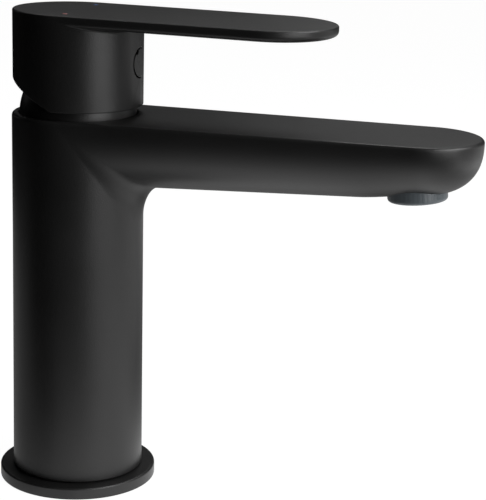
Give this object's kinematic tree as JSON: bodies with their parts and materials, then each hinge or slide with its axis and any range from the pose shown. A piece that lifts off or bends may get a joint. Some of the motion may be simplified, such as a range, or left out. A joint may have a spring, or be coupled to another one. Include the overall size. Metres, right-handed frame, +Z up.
{
  "type": "single-lever basin mixer tap",
  "caption": "Deck-mounted mixer tap with a straight round column, a flat-topped spout and a flat lever that lifts for flow and swivels for temperature.",
  "frame": {"origin": "centre of the base flange's underside, on the column's axis, in the plane of the deck", "axes": "+Z up along the column, +X along the spout towards the user, -Y the hot side (the user's left)"},
  "size_m": [0.1658, 0.0548, 0.1656],
  "materials": {
    "matt_black": "fine-textured matt black coating, satin at grazing angles",
    "rubber": "matt moulded rubber",
    "white_plastic": "moulded satin",
    "red_plastic": "moulded satin",
    "ceramic": "lapped alumina, smooth",
    "brass": "turned",
    "steel": "machined",
    "grey_plastic": "moulded satin blue-grey",
    "red_mark": "small enamel dot",
    "blue_mark": "small enamel dot"
  },
  "bodies": {
    "root": {"body_casting": "matt_black", "base_flange": "matt_black", "base_gasket": "rubber", "cartridge_base": "white_plastic", "hot_inlet_seal": "rubber", "cold_inlet_seal": "rubber", "fixed_ceramic_disc": "ceramic", "cartridge_housing": "white_plastic", "cartridge_o_ring": "rubber", "slip_washer": "red_plastic", "cartridge_nut": "brass", "hot_limit_ring": "red_plastic", "dome_cover": "matt_black", "aerator_housing": "grey_plastic", "aerator_insert": "grey_plastic", "aerator_screen": "steel", "aerator_washer": "rubber"},
    "rotor": {"rotor": "white_plastic", "pivot_pin": "steel"},
    "lever": {"lever_handle": "matt_black", "spindle": "steel", "grub_screw": "steel", "plug_cap": "matt_black", "hot_dot": "red_mark", "cold_dot": "blue_mark"},
    "disc_slide": {"disc_carrier": "white_plastic", "moving_ceramic_disc": "ceramic"}
  },
  "joints": [
    {"name": "lever_swivel", "type": "hinge", "parent": "root", "child": "rotor", "pos_m": [0, 0, 0.1302], "axis": [0, 0, 1], "range_deg": [-45, 45]},
    {"name": "lever_lift", "type": "hinge", "parent": "rotor", "child": "lever", "pos_m": [0, 0, 0.1302], "axis": [0, -1, 0], "range_deg": [0, 25]},
    {"name": "disc_travel", "type": "slide", "parent": "rotor", "child": "disc_slide", "axis": [1, 0, 0], "range_m": [0, 0.0053]}
  ],
  "couplings": [
    {"joint": "disc_travel", "follows": "lever_lift", "m_per_rad": 0.0119}
  ]
}
